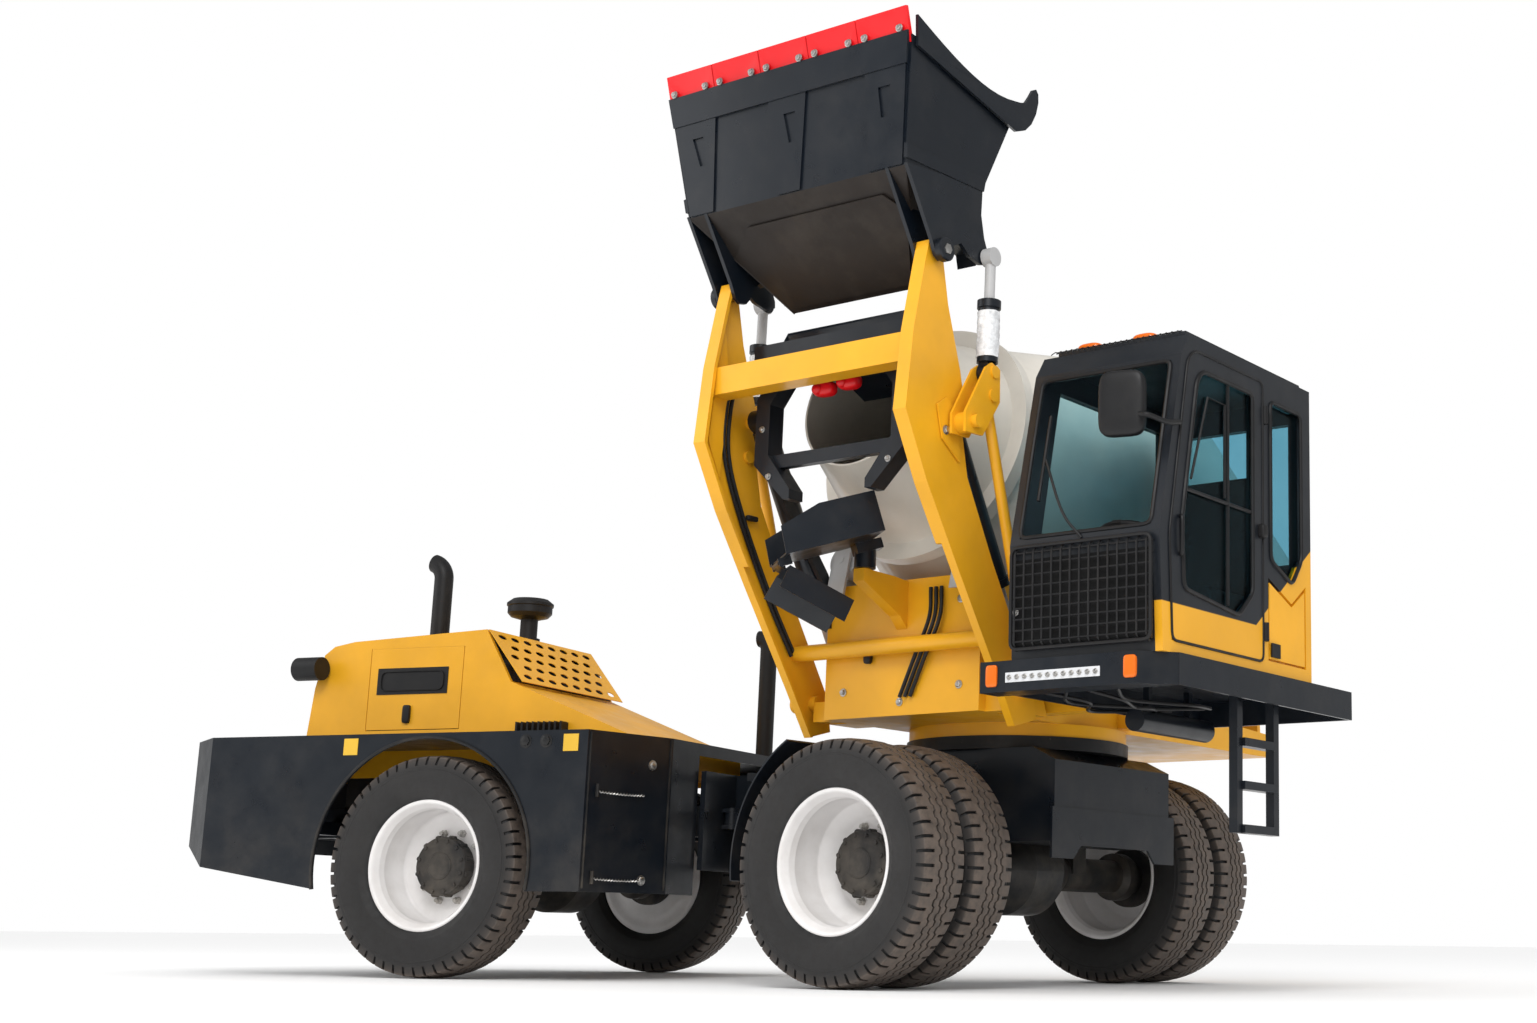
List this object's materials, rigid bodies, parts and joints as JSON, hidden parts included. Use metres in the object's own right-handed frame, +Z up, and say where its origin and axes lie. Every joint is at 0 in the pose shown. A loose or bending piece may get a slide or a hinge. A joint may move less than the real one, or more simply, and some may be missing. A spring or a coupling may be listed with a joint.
{
  "type": "self-loading concrete mixer",
  "caption": "Articulated self-loading concrete mixer: slewing upper with drum, cab and front loader bucket on a twin-tyred chassis, hinged to an engine module.",
  "frame": {"origin": "on the ground, under the middle of the whole machine as it is parked", "axes": "+X forward along the mixer chassis, +Y to its left, +Z up; the engine module is turned 15.5 degrees at its hinge and the upper is slewed a quarter turn so that the loader reaches towards -Y"},
  "size_m": [6.0264, 3.9748, 4.02],
  "materials": {
    "yellow_paint": "semi-gloss",
    "navy_paint": "semi-gloss",
    "cab_grey": "semi-gloss",
    "white_paint": "satin",
    "red_paint": "semi-gloss",
    "bare_steel": "satin",
    "cast_metal": "matte",
    "tyre_rubber": "matte",
    "window_glass": "gloss",
    "seat_cloth": "matte",
    "black_plastic": "matte"
  },
  "bodies": {
    "chassis": {"front_frame": "navy_paint", "front_fenders": "navy_paint", "front_axle": "cast_metal", "slew_ring": "cast_metal"},
    "engine_module": {"rear_frame": "navy_paint", "rear_body": "navy_paint", "rear_axle": "cast_metal", "engine_block": "cast_metal", "engine_hood": "yellow_paint", "exhaust_stacks": "black_plastic", "air_precleaner": "black_plastic", "rear_work_light": "black_plastic"},
    "hood_door_left": {"hood_door_left": "yellow_paint"},
    "hood_door_right": {"hood_door_right": "yellow_paint"},
    "steering_barrel_left": {"steering_barrel_left": "navy_paint"},
    "steering_barrel_right": {"steering_barrel_right": "navy_paint"},
    "steering_rod_left": {"steering_rod_left": "bare_steel"},
    "steering_rod_right": {"steering_rod_right": "bare_steel"},
    "front_wheels_left": {"front_tyre_left": "tyre_rubber", "front_wheel_left": "white_paint"},
    "front_wheels_right": {"front_tyre_right": "tyre_rubber", "front_wheel_right": "white_paint"},
    "rear_wheel_left": {"rear_tyre_left": "tyre_rubber", "rear_wheel_left": "white_paint"},
    "rear_wheel_right": {"rear_tyre_right": "tyre_rubber", "rear_wheel_right": "white_paint"},
    "upper": {"upper_frame": "yellow_paint", "cab_platform": "navy_paint", "access_ladder": "navy_paint", "cab_shell": "cab_grey", "cab_glass": "window_glass", "operator_seat": "seat_cloth", "steering_wheel": "black_plastic", "door_mirror": "black_plastic", "drum_rollers": "bare_steel", "drum_gearbox": "cast_metal", "hopper": "navy_paint", "hopper_frame": "cab_grey"},
    "drum": {"drum": "white_paint"},
    "cab_door": {"cab_door": "cab_grey", "door_glass": "window_glass"},
    "locker_door": {"locker_door": "yellow_paint"},
    "loader_arms": {"loader_arms": "yellow_paint", "tilt_levers": "yellow_paint", "link_rods": "yellow_paint"},
    "bucket": {"bucket": "navy_paint", "cutting_edge": "red_paint"},
    "lift_barrels": {"lift_barrels": "navy_paint"},
    "lift_rods": {"lift_rods": "bare_steel"},
    "tilt_barrels": {"tilt_barrels": "navy_paint"},
    "tilt_rods": {"tilt_rods": "bare_steel"},
    "discharge_chute": {"discharge_chute": "navy_paint"},
    "chute_extension": {"chute_extension": "navy_paint"}
  },
  "joints": [
    {"name": "articulation", "type": "hinge", "parent": "chassis", "child": "engine_module", "pos_m": [0.19316, -0.08549, 0.79], "axis": [0, 0, 1], "range_deg": [-50.5, 19.5]},
    {"name": "front_wheels_left_spin", "type": "hinge", "parent": "chassis", "child": "front_wheels_left", "pos_m": [1.39316, 0.94151, 0.525], "axis": [0, 1, 0], "continuous": true},
    {"name": "rear_wheel_left_spin", "type": "hinge", "parent": "engine_module", "child": "rear_wheel_left", "pos_m": [-1.55854, 0.51317, 0.525], "axis": [-0.2672, 0.9636, 0], "continuous": true},
    {"name": "front_wheels_right_spin", "type": "hinge", "parent": "chassis", "child": "front_wheels_right", "pos_m": [1.39316, -1.11249, 0.525], "axis": [0, 1, 0], "continuous": true},
    {"name": "rear_wheel_right_spin", "type": "hinge", "parent": "engine_module", "child": "rear_wheel_right", "pos_m": [-1.00001, -1.50082, 0.525], "axis": [-0.2672, 0.9636, 0], "continuous": true},
    {"name": "slew", "type": "hinge", "parent": "chassis", "child": "upper", "pos_m": [1.39316, -0.08549, 1.06], "axis": [0, 0, 1], "range_deg": [0, 175]},
    {"name": "drum_spin", "type": "hinge", "parent": "upper", "child": "drum", "pos_m": [1.39316, -1.33149, 2.544], "axis": [0, -0.979, 0.2036], "continuous": true},
    {"name": "arm_lift", "type": "hinge", "parent": "upper", "child": "loader_arms", "pos_m": [1.39316, -0.90549, 1.27], "axis": [-1, 0, 0], "range_deg": [-91, 0]},
    {"name": "bucket_tilt", "type": "hinge", "parent": "loader_arms", "child": "bucket", "pos_m": [1.39316, -1.57549, 3.06], "axis": [-1, 0, 0], "range_deg": [-5, 30]},
    {"name": "chute_swing", "type": "hinge", "parent": "upper", "child": "discharge_chute", "pos_m": [1.39316, -1.25549, 1.8], "axis": [0, 0, 1], "range_deg": [-20, 70]},
    {"name": "chute_fold", "type": "hinge", "parent": "discharge_chute", "child": "chute_extension", "pos_m": [1.23564, -1.63731, 1.76862], "axis": [0.809, -0.5878, 0], "range_deg": [-136, 0]},
    {"name": "cab_door_swing", "type": "hinge", "parent": "upper", "child": "cab_door", "pos_m": [2.99516, -0.52049, 1.9], "axis": [0, 0, 1], "range_deg": [0, 95]},
    {"name": "locker_door_swing", "type": "hinge", "parent": "upper", "child": "locker_door", "pos_m": [2.98916, -0.14049, 1.55], "axis": [0, 0, 1], "range_deg": [0, 100]},
    {"name": "hood_door_left_lift", "type": "hinge", "parent": "engine_module", "child": "hood_door_left", "pos_m": [-2.02459, -0.18995, 1.682], "axis": [0.9636, 0.2672, 0], "range_deg": [0, 75]},
    {"name": "hood_door_right_lift", "type": "hinge", "parent": "engine_module", "child": "hood_door_right", "pos_m": [-1.76162, -1.13816, 1.682], "axis": [-0.9636, -0.2672, 0], "range_deg": [0, 75]},
    {"name": "lift_barrel_swing", "type": "hinge", "parent": "loader_arms", "child": "lift_barrels", "pos_m": [1.39316, -1.41549, 2.5], "axis": [-1, 0, 0], "range_deg": [-0.02, 4.85]},
    {"name": "lift_rod_slide", "type": "slide", "parent": "lift_barrels", "child": "lift_rods", "axis": [0, 0.5, -0.8661], "range_m": [-0.00005, 0.22956]},
    {"name": "tilt_barrel_swing", "type": "hinge", "parent": "loader_arms", "child": "tilt_barrels", "pos_m": [1.39316, -1.28349, 2.585], "axis": [-1, 0, 0], "range_deg": [-1.86, 0.33]},
    {"name": "tilt_rod_slide", "type": "slide", "parent": "tilt_barrels", "child": "tilt_rods", "axis": [0, 0.0152, 0.9999], "range_m": [-0.15671, 0.02616]},
    {"name": "steering_barrel_left_swing", "type": "hinge", "parent": "engine_module", "child": "steering_barrel_left", "pos_m": [-0.26502, -0.005, 0.79], "axis": [0, 0, 1], "range_deg": [-3.91, 10.09]},
    {"name": "steering_rod_left_slide", "type": "slide", "parent": "steering_barrel_left", "child": "steering_rod_left", "axis": [0.98, 0.1991, 0], "range_m": [-0.17944, 0.06932]},
    {"name": "steering_barrel_right_swing", "type": "hinge", "parent": "engine_module", "child": "steering_barrel_right", "pos_m": [-0.15812, -0.39045, 0.79], "axis": [0, 0, 1], "range_deg": [-4.66, 12.04]},
    {"name": "steering_rod_right_slide", "type": "slide", "parent": "steering_barrel_right", "child": "steering_rod_right", "axis": [0.977, 0.2131, 0], "range_m": [-0.06343, 0.1642]}
  ],
  "couplings": [
    {"joint": "lift_barrel_swing", "follows": "arm_lift", "ratio": -0.053043},
    {"joint": "lift_rod_slide", "follows": "arm_lift", "m_per_rad": -0.1445},
    {"joint": "tilt_barrel_swing", "follows": "bucket_tilt", "ratio": -0.061285},
    {"joint": "tilt_rod_slide", "follows": "bucket_tilt", "m_per_rad": -0.29919},
    {"joint": "steering_barrel_left_swing", "follows": "articulation", "ratio": -0.19946},
    {"joint": "steering_rod_left_slide", "follows": "articulation", "m_per_rad": 0.20353},
    {"joint": "steering_barrel_right_swing", "follows": "articulation", "ratio": -0.23811},
    {"joint": "steering_rod_right_slide", "follows": "articulation", "m_per_rad": -0.18624}
  ]
}
